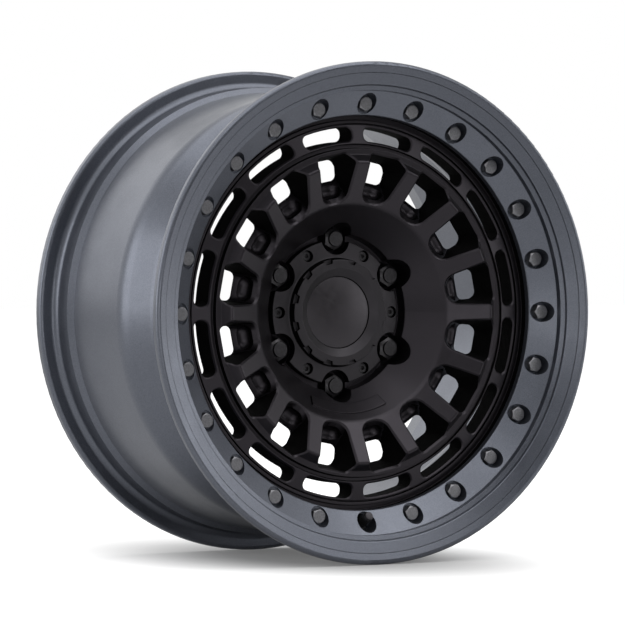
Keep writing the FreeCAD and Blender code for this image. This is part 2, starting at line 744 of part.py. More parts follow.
def centre_cap():
    """Cap screwed to the hub's front, with a castellated bezel round a bare recess."""
    spigot_r = CAP_OPENING_R - CAP_SPIGOT_CLEARANCE
    bezel_y = hub_front_y - BEZEL_HEIGHT
    land_r = BEZEL_R - BEZEL_LAND
    recess_r = land_r - BEZEL_CONE
    recess_y = bezel_y + BEZEL_CONE_FALL
    floor_y = recess_y + DISC_RECESS
    cap = turned([
        (0, floor_y, 0),
        (recess_r, floor_y, 0),
        (recess_r, recess_y, BEZEL_INNER_ROUND),
        (land_r, bezel_y, BEZEL_INNER_ROUND),
        (BEZEL_R, bezel_y, BEZEL_ROUND),
        (BEZEL_R + BEZEL_FOOT, hub_front_y - CAP_FLANGE_ROOT, CAP_FLANGE_ROUND),
        (cap_flange_r, hub_front_y - CAP_FLANGE_EDGE, CAP_FLANGE_ROUND),
        (cap_flange_r, hub_front_y, 0),
        (spigot_r, hub_front_y, 0),
        (spigot_r, hub_front_y + CAP_SPIGOT, CAP_SPIGOT_ROUND),
        (spigot_r - CAP_WALL, hub_front_y + CAP_SPIGOT, CAP_SPIGOT_ROUND),
        (spigot_r - CAP_WALL, floor_y + CAP_WALL, CAP_INNER_ROUND),
        (0, floor_y + CAP_WALL, 0),
    ])
    notch_r = BEZEL_R - NOTCH_DEPTH
    mouth_r = BEZEL_R + BEZEL_FOOT
    notch_points = [
        (notch_r, -NOTCH_FOOT_WIDTH / 2),
        (mouth_r, -NOTCH_MOUTH_WIDTH / 2),
        (mouth_r, NOTCH_MOUTH_WIDTH / 2),
        (notch_r, NOTCH_FOOT_WIDTH / 2),
        (notch_r, -NOTCH_FOOT_WIDTH / 2),
    ]
    outline = Part.makePolygon([FreeCAD.Vector(x, bezel_y - CUT_MARGIN, z) for x, z in notch_points])
    notch = Part.Face(outline).extrude(FreeCAD.Vector(0, NOTCH_HEIGHT + CUT_MARGIN, 0))
    scallop = rod(LUG_POCKET_R, bezel_y, hub_front_y + CUT_MARGIN, lug_r)
    screw_floor_y = hub_front_y - CAP_SCREW_FLOOR
    pocket = rod(CAP_SCREW_POCKET_D / 2, bezel_y, screw_floor_y, cap_screw_r)
    hole = rod(CAP_SCREW_D / 2 + SHANK_CLEARANCE, bezel_y, hub_front_y + CUT_MARGIN, cap_screw_r)
    tools = around(notch, NOTCHES, 180.0 / NOTCHES) + around(scallop, LUGS, 180.0 / LUGS)
    return cap.cut(tools + around(pocket, LUGS) + around(hole, LUGS))


def cap_disc():
    """Domed disc set into the cap, left bare."""
    disc_r = BEZEL_R - BEZEL_LAND - BEZEL_CONE - DISC_CLEARANCE
    floor_y = hub_front_y - BEZEL_HEIGHT + BEZEL_CONE_FALL + DISC_RECESS
    edge_y = floor_y - DISC_EDGE
    disc_top_y = edge_y - DISC_CROWN
    dome_r = (disc_r ** 2 + DISC_CROWN ** 2) / (2 * DISC_CROWN)
    lean = math.asin(disc_r / dome_r) / 2
    rim = half_plane(disc_r, edge_y)
    middle = half_plane(dome_r * math.sin(lean), disc_top_y + dome_r * (1 - math.cos(lean)))
    top = half_plane(0, disc_top_y)
    dome = Part.Arc(rim, middle, top)
    sides = Part.makePolygon([top, half_plane(0, floor_y), half_plane(disc_r, floor_y), rim])
    wire = Part.Wire([dome.toShape()] + sides.Edges)
    return Part.Face(wire).revolve(ORIGIN, WHEEL_AXIS, 360)


def cap_screw():
    """Socket-head screw that holds the cap's flange."""
    floor_y = hub_front_y - CAP_SCREW_FLOOR
    top_y = floor_y - CAP_SCREW_HEAD
    screw = turned([
        (0, top_y, 0),
        (CAP_SCREW_HEAD_D / 2, top_y, CAP_SCREW_ROUND),
        (CAP_SCREW_HEAD_D / 2, floor_y, 0),
        (CAP_SCREW_D / 2, floor_y, 0),
        (CAP_SCREW_D / 2, hub_front_y + CAP_SCREW_REACH, 0),
        (0, hub_front_y + CAP_SCREW_REACH, 0),
    ])
    socket = hex_rod(CAP_SCREW_HEX, top_y, top_y + CAP_SCREW_HEX_DEPTH)
    return at_radius(screw.cut(socket), cap_screw_r)


def cap_screws():
    return Part.makeCompound(around(cap_screw(), LUGS))


# Tyre valve: drawn about the axis with its outer seat on the rim at zero, then set in the rim


def set_valve(shape):
    """Tilts a valve piece towards the wheel's axis and moves it to the lowest bolt place."""
    seat_level = seat_y + VALVE_SEAT_DEPTH
    r = bolt_r + (seat_level - bolt_floor_y) * math.tan(math.radians(VALVE_TILT_DEG))
    tilted = shape.rotated(ORIGIN, TILT_AXIS, -VALVE_TILT_DEG)
    return tilted.translated(FreeCAD.Vector(r, seat_level, 0)).rotated(ORIGIN, WHEEL_AXIS, 90)


def valve_spot():
    """Round room for the washer and nut, square to the stem."""
    return set_valve(rod(VALVE_SPOT_R, -VALVE_SEAT_DEPTH - BOLT_FLOOR - CUT_MARGIN, 0))


def valve_cuts():
    """Hole for the stem and the flat spots that its washer and grommet sit on."""
    deep = VALVE_RIM_THICKNESS + GROMMET_THICKNESS + VALVE_FLANGE_THICKNESS + VALVE_INNER_ROOM
    hole = rod(VALVE_HOLE_R, -CUT_MARGIN, deep)
    inner_spot = rod(VALVE_INNER_SPOT_R, VALVE_RIM_THICKNESS, deep)
    return [valve_spot(), set_valve(hole), set_valve(inner_spot)]


def valve_stem():
    """Stem with its inner flange, stepped outside and air bore."""
    flange_y = VALVE_RIM_THICKNESS + GROMMET_THICKNESS
    end_y = flange_y + VALVE_FLANGE_THICKNESS
    core_depth = CORE_TOP_DEPTH + CORE_LENGTH + PIN_SEAL_HEIGHT + PIN_TAIL + CORE_WELL_SPARE
    core_end_y = -VALVE_HEIGHT + core_depth
    return set_valve(turned([
        (CORE_BORE_R, -VALVE_HEIGHT, 0),
        (VALVE_THREAD_R, -VALVE_HEIGHT, VALVE_TIP_ROUND),
        (VALVE_THREAD_R, -VALVE_BODY_HEIGHT, 0),
        (VALVE_BODY_R, -VALVE_BODY_HEIGHT + VALVE_STEP, 0),
        (VALVE_BODY_R, flange_y, 0),
        (VALVE_FLANGE_R, flange_y, 0),
        (VALVE_FLANGE_R, end_y, VALVE_FLANGE_ROUND),
        (AIR_BORE_R, end_y, 0),
        (AIR_BORE_R, core_end_y + VALVE_STEP, 0),
        (CORE_BORE_R, core_end_y, 0),
    ]))


def valve_sleeve(outer_r, inner_r, y_front, y_back):
    return set_valve(rod(outer_r, y_front, y_back).cut(rod(inner_r, y_front, y_back)))


def valve_grommet():
    inner_r = VALVE_BODY_R + VALVE_CLEARANCE
    return valve_sleeve(GROMMET_R, inner_r, VALVE_RIM_THICKNESS, VALVE_RIM_THICKNESS + GROMMET_THICKNESS)


def valve_washer():
    return valve_sleeve(VALVE_WASHER_R, VALVE_BODY_R + VALVE_CLEARANCE, -VALVE_WASHER_THICKNESS, 0)


def valve_nut():
    back_y = -VALVE_WASHER_THICKNESS
    front_y = back_y - VALVE_NUT_HEIGHT
    corner_r = VALVE_NUT_HEX / math.sqrt(3)
    blank = turned([
        (0, front_y, 0),
        (VALVE_NUT_HEX / 2 - VALVE_NUT_INSET, front_y, 0),
        (corner_r, front_y + VALVE_NUT_CHAMFER, 0),
        (corner_r, back_y, 0),
        (0, back_y, 0),
    ])
    nut = hex_rod(VALVE_NUT_HEX, front_y, back_y).common(blank)
    return set_valve(nut.cut(rod(VALVE_BODY_R + VALVE_CLEARANCE, front_y, back_y)))


def valve_core_body():
    """Barrel of the valve core: an open chamber for the spring over a drilled ledge."""
    top_y = -VALVE_HEIGHT + CORE_TOP_DEPTH
    end_y = top_y + CORE_LENGTH
    outer_r = CORE_BORE_R - CORE_CLEARANCE
    return set_valve(turned([
        (CORE_CHAMBER_R, top_y, 0),
        (outer_r, top_y, CORE_ROUND),
        (outer_r, end_y, 0),
        (CORE_LEDGE_R, end_y, 0),
        (CORE_LEDGE_R, end_y - CORE_LEDGE, 0),
        (CORE_CHAMBER_R, end_y - CORE_LEDGE, 0),
    ]))


def valve_core_pin():
    """Pin with a button above the spring and a sealing cup below the barrel."""
    top_y = -VALVE_HEIGHT + CORE_TOP_DEPTH - PIN_HEAD_HEIGHT / 2
    head_y = top_y + PIN_HEAD_HEIGHT
    seal_y = -VALVE_HEIGHT + CORE_TOP_DEPTH + CORE_LENGTH + PIN_SEAL_GAP
    return set_valve(turned([
        (0, top_y, 0),
        (PIN_HEAD_R, top_y, PIN_HEAD_ROUND),
        (PIN_HEAD_R, head_y, 0),
        (PIN_R, head_y, 0),
        (PIN_R, seal_y, 0),
        (PIN_SEAL_R, seal_y, 0),
        (PIN_SEAL_R, seal_y + PIN_SEAL_HEIGHT, CORE_ROUND),
        (PIN_R, seal_y + PIN_SEAL_HEIGHT, 0),
        (PIN_R, seal_y + PIN_SEAL_HEIGHT + PIN_TAIL, 0),
        (0, seal_y + PIN_SEAL_HEIGHT + PIN_TAIL, 0),
    ]))


def valve_core_spring():
    """Coil spring between the ledge and the pin's button, of half turns tilted one way and the other."""
    head_y = -VALVE_HEIGHT + CORE_TOP_DEPTH + PIN_HEAD_HEIGHT / 2
    ledge_y = -VALVE_HEIGHT + CORE_TOP_DEPTH + CORE_LENGTH - CORE_LEDGE
    first_y = head_y + SPRING_WIRE_R + PIN_SEAL_GAP
    rise = (ledge_y - SPRING_WIRE_R - PIN_SEAL_GAP - first_y) / (2 * SPRING_TURNS)
    halves = []
    for k in range(2 * SPRING_TURNS):
        side = 1 if k % 2 == 0 else -1
        start = FreeCAD.Vector(side * SPRING_R, first_y + k * rise, 0)
        centre = FreeCAD.Vector(0, first_y + (k + 0.5) * rise, 0)
        spin = FreeCAD.Vector(side * rise, 2 * SPRING_R, 0)
        section = Part.Face(Part.Wire(Part.makeCircle(SPRING_WIRE_R, start, TILT_AXIS)))
        halves.append(section.revolve(centre, spin, 180))
    return set_valve(halves[0].fuse(halves[1:]))


def valve_cap():
    """Screw cap over the stem's end, hollow for the seal."""
    inner_r = VALVE_THREAD_R + VALVE_CAP_CLEARANCE
    skirt_y = -VALVE_HEIGHT + VALVE_CAP_SKIRT
    roof_y = -VALVE_HEIGHT - VALVE_CAP_CLEARANCE - CAP_SEAL_THICKNESS
    top_y = roof_y - VALVE_CAP_TOP
    return set_valve(turned([
        (0, top_y, 0),
        (VALVE_CAP_TIP_R, top_y, VALVE_CAP_ROUND),
        (VALVE_CAP_R, top_y + VALVE_CAP_TOP, VALVE_CAP_ROUND),
        (VALVE_CAP_R, skirt_y, 0),
        (inner_r, skirt_y, 0),
        (inner_r, roof_y, 0),
        (0, roof_y, 0),
    ]))


def valve_cap_seal():
    back_y = -VALVE_HEIGHT - VALVE_CAP_CLEARANCE
    return set_valve(rod(VALVE_THREAD_R, back_y - CAP_SEAL_THICKNESS, back_y))


PIECES = {
    "wheel_casting": wheel_casting,
    "trim_ring": trim_ring,
    "ring_bolts": ring_bolts,
    "lug_nuts": lug_nuts,
    "centre_cap": centre_cap,
    "cap_disc": cap_disc,
    "cap_screws": cap_screws,
    "valve_stem": valve_stem,
    "valve_grommet": valve_grommet,
    "valve_washer": valve_washer,
    "valve_nut": valve_nut,
    "valve_core_body": valve_core_body,
    "valve_core_pin": valve_core_pin,
    "valve_core_spring": valve_core_spring,
    "valve_cap": valve_cap,
    "valve_cap_seal": valve_cap_seal,
}

os.makedirs("parts", exist_ok=True)
for name, make in PIECES.items():
    make().exportStep(os.path.join("parts", name + ".step"))
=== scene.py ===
import math

import bmesh
import bpy
import numpy as np
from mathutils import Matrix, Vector


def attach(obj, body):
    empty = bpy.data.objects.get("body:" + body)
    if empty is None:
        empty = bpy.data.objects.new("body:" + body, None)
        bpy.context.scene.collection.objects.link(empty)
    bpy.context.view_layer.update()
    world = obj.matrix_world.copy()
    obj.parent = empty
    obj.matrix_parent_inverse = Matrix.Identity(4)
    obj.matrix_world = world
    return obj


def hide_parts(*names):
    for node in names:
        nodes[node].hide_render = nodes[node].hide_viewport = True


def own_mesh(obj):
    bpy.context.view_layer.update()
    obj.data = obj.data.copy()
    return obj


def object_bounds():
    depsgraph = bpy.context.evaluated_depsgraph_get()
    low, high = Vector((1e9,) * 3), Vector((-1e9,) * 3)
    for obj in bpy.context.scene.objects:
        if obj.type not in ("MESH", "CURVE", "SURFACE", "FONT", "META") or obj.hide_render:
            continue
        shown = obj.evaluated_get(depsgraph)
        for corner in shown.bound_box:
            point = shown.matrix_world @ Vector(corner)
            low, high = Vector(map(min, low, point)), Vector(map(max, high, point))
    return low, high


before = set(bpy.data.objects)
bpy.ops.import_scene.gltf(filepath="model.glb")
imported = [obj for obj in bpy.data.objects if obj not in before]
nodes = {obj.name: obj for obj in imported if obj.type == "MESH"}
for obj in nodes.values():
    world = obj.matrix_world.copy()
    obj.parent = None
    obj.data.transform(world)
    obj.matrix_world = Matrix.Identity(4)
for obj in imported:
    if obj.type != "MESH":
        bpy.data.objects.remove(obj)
cad_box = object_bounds()


# Wheel casting
# The rim, the slotted band, the windowed spokes and the hub are one aluminium casting, turned on the
# rim and the pad. It is sprayed in metallic gunmetal, then the face inside the trim ring is sprayed satin
# black. The walls of the windows and slots are a darker, matte black, painted shade, and the black reaches
# back onto the barrel behind the slots as painted shade. The hub pad is left bare.

FACE_PAINT_R = 0.1864
FACE_BACK_Y = -0.0601
DISH_EDGE_R = 0.087
DISH_EDGE_Y = -0.045
DISH_SLOPE = 0.6
HUB_MASK_Y = -0.014
# Behind the slots the black reaches this far back: painted shade on the barrel seen through them.
SLOT_SHADE_R = 0.176
SLOT_SHADE_Y = -0.0542
WALL_TURN = 0.42
PAD_Y = -0.0004
PAD_FACING = 0.99
PAD_RING_SPACING = 0.0004
FLAKE_SCALE = 2600.0
TEXTURE_MIDDLE = (0.3, 0.7)
ROUNDING_SAMPLES = 4


class Finish:
    """A paint or metal being mixed: its node tree, its shader and its Object coordinates."""

    def __init__(self, name, roughness, metallic=0.0):
        self.material = bpy.data.materials.new(name)
        self.material.use_nodes = True
        self.tree = self.material.node_tree
        self.shader = self.tree.nodes["Principled BSDF"]
        self.shader.inputs["Roughness"].default_value = roughness
        self.shader.inputs["Metallic"].default_value = metallic
        self.place = self.tree.nodes.new("ShaderNodeTexCoord").outputs["Object"]

    def link(self, out, into):
        self.tree.links.new(out, into)

    def node(self, kind, **settings):
        made = self.tree.nodes.new(kind)
        for name, value in settings.items():
            setattr(made, name, value)
        return made

    def noise(self, scale, detail=2.0):
        made = self.node("ShaderNodeTexNoise")
        made.inputs["Scale"].default_value = scale
        made.inputs["Detail"].default_value = detail
        self.link(self.place, made.inputs["Vector"])
        return made.outputs["Fac"]

    def cells(self, scale):
        made = self.node("ShaderNodeTexVoronoi")
        made.inputs["Scale"].default_value = scale
        self.link(self.place, made.inputs["Vector"])
        return made.outputs["Color"]

    def spread(self, value, low, high, into):
        """Carries a texture's middle range to low..high on a socket."""
        made = self.node("ShaderNodeMapRange")
        made.inputs["From Min"].default_value = TEXTURE_MIDDLE[0]
        made.inputs["From Max"].default_value = TEXTURE_MIDDLE[1]
        made.inputs["To Min"].default_value = low
        made.inputs["To Max"].default_value = high
        self.link(value, made.inputs["Value"])
        self.link(made.outputs["Result"], into)

    def tone(self, value, dark, light, ends=(0.25, 0.75)):
        """Base colour between two tones, by a texture."""
        ramp = self.node("ShaderNodeValToRGB")
        for stop, at, colour in zip(ramp.color_ramp.elements, ends, (dark, light)):
            stop.position = at
            stop.color = (*colour, 1.0)
        self.link(value, ramp.inputs["Fac"])
        self.link(ramp.outputs["Color"], self.shader.inputs["Base Color"])

    def relief(self, *layers, edge=0.0):
        """Bump from (height, depth in metres) layers, over edges rounded by a radius."""
        normal = None
        if edge:
            rounded = self.node("ShaderNodeBevel", samples=ROUNDING_SAMPLES)
            rounded.inputs["Radius"].default_value = edge
            normal = rounded.outputs["Normal"]
        for height, depth in layers:
            bump = self.node("ShaderNodeBump")
            bump.inputs["Strength"].default_value = 1.0
            bump.inputs["Distance"].default_value = depth
            self.link(height, bump.inputs["Height"])
            if normal is not None:
                self.link(normal, bump.inputs["Normal"])
            normal = bump.outputs["Normal"]
        self.link(normal, self.shader.inputs["Normal"])


def gunmetal_paint():
    """Metallic base coat with fine flake under a thin clear coat."""
    paint = Finish("gunmetal_paint", roughness=0.33, metallic=0.8)
    paint.tone(paint.cells(FLAKE_SCALE), (0.088, 0.095, 0.115), (0.142, 0.153, 0.184), ends=(0.1, 0.9))
    paint.spread(paint.noise(38.0, 3.0), 0.29, 0.37, paint.shader.inputs["Roughness"])
    paint.relief((paint.cells(FLAKE_SCALE), 0.000012), (paint.noise(420.0), 0.000008), edge=0.0006)
    paint.shader.inputs["Coat Weight"].default_value = 0.2
    paint.shader.inputs["Coat Roughness"].default_value = 0.18
    return paint.material


def face_paint():
    """Deep satin black powder coat with a faint orange peel."""
    paint = Finish("face_black", roughness=0.33)
    paint.tone(paint.noise(60.0, 3.0), (0.0030, 0.0026, 0.0032), (0.0044, 0.0038, 0.0046))
    paint.spread(paint.noise(140.0, 3.0), 0.32, 0.36, paint.shader.inputs["Roughness"])
    paint.relief((paint.noise(900.0), 0.000004), (paint.noise(260.0), 0.000003), edge=0.0012)
    paint.shader.inputs["Specular IOR Level"].default_value = 0.42
    paint.shader.inputs["Specular Tint"].default_value = (0.96, 0.88, 1.0, 1.0)
    return paint.material


def shade_black_paint():
    """The same black, darker, rough and without gloss: painted shade on walls that turn away from the
    front.
    """
    paint = Finish("painted_shade_black", roughness=0.86)
    paint.tone(paint.noise(90.0, 3.0), (0.0010, 0.0009, 0.0010), (0.0020, 0.0018, 0.0020))
    paint.spread(paint.noise(240.0, 3.0), 0.8, 0.92, paint.shader.inputs["Roughness"])
    paint.relief((paint.noise(1300.0, 3.0), 0.00002), edge=0.0014)
    paint.shader.inputs["Specular IOR Level"].default_value = 0.03
    return paint.material


def turned_metal():
    """Bare aluminium with the fine rings that the lathe leaves round the wheel's axis."""
    metal = Finish("pad_bare", roughness=0.3, metallic=1.0)
    rings = metal.node("ShaderNodeTexWave", wave_type="RINGS", rings_direction="Y")
    # A wave node repeats every pi / (10 x scale) metres.
    rings.inputs["Scale"].default_value = math.pi / (10.0 * PAD_RING_SPACING)
    rings.inputs["Distortion"].default_value = 0.6
    metal.link(metal.place, rings.inputs["Vector"])
    metal.tone(metal.noise(55.0, 4.0), (0.42, 0.42, 0.43), (0.56, 0.56, 0.57))
    metal.spread(metal.noise(300.0, 3.0), 0.26, 0.38, metal.shader.inputs["Roughness"])
    metal.relief((rings.outputs["Fac"], 0.000012), (metal.noise(900.0), 0.000006), edge=0.0005)
    return metal.material


gunmetal = gunmetal_paint()
black = face_paint()
painted_shade_black = shade_black_paint()
bare = turned_metal()


def mask_face(node):
    """Gives the casting's triangles in front of the masking line the second slot, black, or the third, a
    darker matte black as painted shade, where they turn away from the front outside the hub, and those of
    the hub pad's flat the fourth, bare. From the rim inwards the line starts a little behind the slots, so
    that painted shade covers the barrel seen through them, follows the back of the spokes, slopes back
    towards the hub and ends behind the lug pockets."""
    mesh = node.data
    middle = np.empty(len(mesh.polygons) * 3)
    mesh.polygons.foreach_get("center", middle)
    x, y, z = middle.reshape(-1, 3).T
    r = np.hypot(x, z)
    line = np.maximum(FACE_BACK_Y, DISH_EDGE_Y - (r - DISH_EDGE_R) * DISH_SLOPE)
    line = np.where(r < DISH_EDGE_R, HUB_MASK_Y, line)
    # Behind the slots the black reaches back onto the barrel: painted shade.
    line = np.where(r > SLOT_SHADE_R, SLOT_SHADE_Y, line)
    inside = (r < FACE_PAINT_R) & (y < line)
    facing = np.empty(len(mesh.polygons) * 3)
    mesh.polygons.foreach_get("normal", facing)
    ahead = -facing.reshape(-1, 3)[:, 1]
    pad = (y > PAD_Y) & (r < DISH_EDGE_R) & (ahead < -PAD_FACING)
    # Walls of the windows and slots take the darker matte black: painted shade.
    wall = (ahead < WALL_TURN) & (r > DISH_EDGE_R)
    slots = np.where(inside, np.where(wall, 2, 1), np.where(pad, 3, 0))
    mesh.polygons.foreach_set("material_index", slots.astype(np.int32))


casting = nodes["wheel_casting"]
casting.data.materials.clear()
for finish in (gunmetal, black, painted_shade_black, bare):
    casting.data.materials.append(finish)
mask_face(casting)


# Trim ring
# A turned aluminium ring that drops into a rebate behind the lip and is bolted to the casting all
# round, in the same metallic gunmetal as the rim.


def dress(name, material):
    """Gives a solid one material."""
    node = nodes[name]
    node.data.materials.clear()
    node.data.materials.append(material)


dress("trim_ring", gunmetal)


# Ring bolts
# Steel hex bolts that hold the ring to the casting, each in a round pocket of the ring. Their dark zinc
# coat is worn a little lighter in places.


def plated_metal(name, dark, light, roughness):
    """Steel or brass, plated or bare, its tone and gloss uneven on a fine scale."""
    metal = Finish(name, roughness=roughness, metallic=0.85)
    metal.tone(metal.noise(700.0, 4.0), dark, light)
    gloss = metal.shader.inputs["Roughness"]
    metal.spread(metal.noise(1500.0, 3.0), roughness - 0.06, roughness + 0.08, gloss)
    metal.relief((metal.noise(2400.0, 3.0), 0.000008), edge=0.0005)
    return metal.material


dress("ring_bolts", plated_metal("bolt_zinc", (0.15, 0.15, 0.16), (0.25, 0.25, 0.265), 0.33))


# Lug nuts
# Closed steel nuts with a conical seat, a hex body and a round flat end, black plated. They stand in the
# lug pockets and clamp the wheel to the studs of the hub.

black_steel = plated_metal("nut_black", (0.03, 0.029, 0.031), (0.06, 0.058, 0.062), 0.36)
dress("lug_nuts", black_steel)


# Centre cap, its disc and screws
# A moulded cap with a castellated bezel, screwed to the hub by six socket-head screws, and a domed disc
# pressed into it. Cap and disc are satin black, the disc smoother, the walls of the notches a darker matte
# black that is painted shade, and the screws are black plated.

DISC_R = 0.0338
DISC_EDGE_Y = -0.0462
DISC_TOP_Y = -0.0496
DISC_FLOOR_Y = -0.0436
DISC_EDGE_ROUND = 0.0004
DISC_RINGS = 48
DISC_ROUND_RINGS = 6
DISC_SIDES = 128
MERGE_GAP = 1e-7
SLIVER_EDGE = 1e-8


def cap_moulding(name, dark, light, roughness):
    """Black plastic or rubber: fine grain, barely uneven."""
    skin = Finish(name, roughness=roughness)
    skin.tone(skin.noise(90.0, 3.0), dark, light)
    gloss = skin.shader.inputs["Roughness"]
    skin.spread(skin.noise(210.0, 3.0), roughness - 0.05, roughness + 0.05, gloss)
    skin.relief((skin.noise(1600.0), 0.000004), edge=0.0006)
    skin.shader.inputs["Specular IOR Level"].default_value = 0.45
    skin.shader.inputs["Specular Tint"].default_value = (0.96, 0.9, 1.0, 1.0)
    return skin.material


def paint_notch_shade(node):
    """Gives the cap's triangles that turn away from the front the second slot, a darker matte black:
    painted shade on the notch walls.
    """
    facing = np.empty(len(node.data.polygons) * 3)
    node.data.polygons.foreach_get("normal", facing)
    wall = -facing.reshape(-1, 3)[:, 1] < WALL_TURN
    node.data.polygons.foreach_set("material_index", wall.astype(np.int32))


def closed_piece(name, points, material, sharp_deg):
    """Mesh of a grid of points, closed along its second way: quads between neighbours, with points that
    fall together merged, which closes poles and seams, and the faces turned outwards."""
    rows, columns = points.shape[:2]
    corner = np.arange(rows * columns).reshape(rows, columns)
    beside = np.roll(corner, -1, axis=1)
    quads = np.stack((corner[:-1], beside[:-1], beside[1:], corner[1:]), axis=-1).reshape(-1, 4)
    mesh = bpy.data.meshes.new(name)
    mesh.from_pydata(points.reshape(-1, 3).tolist(), [], quads.tolist())
    shape = bmesh.new()
    shape.from_mesh(mesh)
    bmesh.ops.remove_doubles(shape, verts=shape.verts, dist=MERGE_GAP)
    bmesh.ops.dissolve_degenerate(shape, edges=shape.edges, dist=SLIVER_EDGE)
    bmesh.ops.recalc_face_normals(shape, faces=shape.faces)
    shape.to_mesh(mesh)
    shape.free()
    mesh.polygons.foreach_set("use_smooth", np.ones(len(mesh.polygons), dtype=bool))
    mesh.set_sharp_from_angle(angle=math.radians(sharp_deg))
    mesh.materials.append(material)
    piece = bpy.data.objects.new(name, mesh)
    bpy.context.scene.collection.objects.link(piece)
    return piece


def domed_disc():
    """Rings about the wheel's axis: a ball's cap from the middle of the top to the edge, a small round,
    the side, and the flat underneath."""
    rise = DISC_EDGE_Y - DISC_TOP_Y
    ball = (DISC_R ** 2 + rise ** 2) / (2 * rise)
    r = np.linspace(0.0, DISC_R - DISC_EDGE_ROUND, DISC_RINGS)
    y = DISC_TOP_Y + ball - np.sqrt(ball ** 2 - r ** 2)
    bend = np.linspace(0.0, math.pi / 2, DISC_ROUND_RINGS)[1:]
    r = np.concatenate((r, r[-1] + DISC_EDGE_ROUND * np.sin(bend), (DISC_R, 0.0)))
    edge_round = y[-1] + DISC_EDGE_ROUND * (1.0 - np.cos(bend))
    y = np.concatenate((y, edge_round, (DISC_FLOOR_Y, DISC_FLOOR_Y)))
    turn = np.arange(DISC_SIDES) / DISC_SIDES * 2 * math.pi
    r = r[:, None]
    y = y[:, None] + 0.0 * turn
    return np.stack((r * np.cos(turn), y, r * np.sin(turn)), axis=-1)


dress("centre_cap", cap_moulding("cap_black", (0.006, 0.0058, 0.006), (0.0095, 0.0092, 0.0095), 0.42))
# The cap's second slot is the darker matte black: painted shade on the notch walls.
nodes["centre_cap"].data.materials.append(painted_shade_black)
paint_notch_shade(nodes["centre_cap"])
dress("cap_screws", black_steel)
disc_skin = cap_moulding("disc_black", (0.018, 0.0166, 0.018), (0.025, 0.0232, 0.025), 0.34)
dome = closed_piece("cap_disc_domed", domed_disc(), disc_skin, 30.0)
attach(dome, "wheel")
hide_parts("cap_disc")


# Tyre valve
# A clamp-in valve: black-coated brass stem, washer and nut, rubber grommet inside the rim, a brass core
# with its sprung pin, and a moulded screw cap with a rubber seal. The cap's grip is fluted, the stem's
# end has the thread that the cap screws on to, and a coiled spring stands between the core's ledge and the
# pin.

VALVE_SEAT = np.array((0.0, -0.083, -0.200264))
VALVE_AXIS = np.array((0.0, -0.906308, 0.422618))
THREAD_ROOT_R = 0.00380
THREAD_CREST_R = 0.00403
THREAD_PITCH = 0.000794
THREAD_START = 0.0106
THREAD_TURNS = 9
THREAD_STEPS = 64
THREAD_ACROSS = (-0.42, -0.1, 0.1, 0.42, 0.0)
THREAD_RISE = (0.0, 1.0, 1.0, 0.0, -1.0)
THREAD_END_SINK = 0.00002
CAP_FLUTES = 18
CAP_FLUTE_DEPTH = 0.0004
CAP_FLUTE_STEPS = 12
CAP_FLUTE_HOLLOW = 1.5
CAP_RADII_MM = (0, 3.3, 3.75, 3.98, 4.62, 4.8, 4.85, 4.85, 4.85, 4.8, 4.6, 4.15, 4.15, 0)
CAP_HEIGHTS_MM = (24.4, 24.4, 24.28, 23.9, 21.7, 21, 20.4, 19.6, 12.2, 11.2, 10.6, 10.6, 20.9, 20.9)
CAP_GRIP = (0, 0, 0, 0, 0, 0, 0.3, 1, 1, 0.3, 0, 0, 0, 0)
SPRING_R = 0.00095
SPRING_WIRE_R = 0.00025
SPRING_TURNS = 5
SPRING_STEPS = 32
SPRING_WIRE_SIDES = 12
SPRING_LOW = 0.0113
SPRING_TOP = 0.0164

coated_brass = plated_metal("valve_black", (0.02, 0.02, 0.021), (0.04, 0.04, 0.042), 0.34)
for name in ("valve_stem", "valve_washer", "valve_nut"):
    dress(name, coated_brass)
brass = plated_metal("core_brass", (0.5, 0.36, 0.15), (0.62, 0.46, 0.2), 0.3)
for name in ("valve_core_body", "valve_core_pin"):
    dress(name, brass)
rubber = cap_moulding("valve_rubber", (0.008, 0.008, 0.008), (0.014, 0.014, 0.014), 0.7)
for name in ("valve_grommet", "valve_cap_seal"):
    dress(name, rubber)


def round_stem(r, turn, height):
    """Points about the stem's axis: out by r at an angle, and up the axis by a height from the seat in
    the rim."""
    side = np.array((1.0, 0.0, 0.0))
    up = np.cross(VALVE_AXIS, side)
    out = np.cos(turn)[..., None] * side + np.sin(turn)[..., None] * up
    return VALVE_SEAT + height[..., None] * VALVE_AXIS + r[..., None] * out


def capped(points):
    """Closes both ends of a tube of points, at their middles."""
    ends = points[[0, -1]].mean(axis=1, keepdims=True) + np.zeros_like(points[:2])
    return np.concatenate((ends[:1], points, ends[1:]))


def stem_thread():
    """A ridge carried up a helix: its section goes from the root over a flat crest and back under the
    stem's skin, and its height grows from nothing and dies away in the first and last half turn."""
    steps = np.linspace(0.0, 1.0, THREAD_TURNS * THREAD_STEPS + 1)
    turn = steps * THREAD_TURNS * 2 * math.pi
    grown = np.clip(np.minimum(steps, 1.0 - steps) * THREAD_TURNS * 2, 0.0, 1.0)[:, None]
    across = np.array(THREAD_ACROSS) * THREAD_PITCH
    rise = np.array(THREAD_RISE) * (THREAD_CREST_R - THREAD_ROOT_R)
    height = THREAD_START + turn[:, None] / (2 * math.pi) * THREAD_PITCH + across
    r = THREAD_ROOT_R + rise * grown - (1.0 - grown) * THREAD_END_SINK
    return capped(round_stem(r, np.broadcast_to(turn[:, None], height.shape), height))


def fluted_cap():
    """The cap's profile, from the middle of its top round the skirt to the middle of its roof, turned
    about the stem. Along the grip the radius dips by a row of round flutes."""
    r = np.array(CAP_RADII_MM) / 1000
    up = np.array(CAP_HEIGHTS_MM) / 1000
    grip = np.array(CAP_GRIP) * CAP_FLUTE_DEPTH
    sides = CAP_FLUTES * CAP_FLUTE_STEPS
    turn = np.arange(sides) / sides * 2 * math.pi
    dip = np.abs(np.cos(turn * CAP_FLUTES / 2)) ** CAP_FLUTE_HOLLOW
    radius = r[:, None] - grip[:, None] * dip
    turns = np.broadcast_to(turn, radius.shape)
    return round_stem(radius, turns, np.broadcast_to(up[:, None], radius.shape))


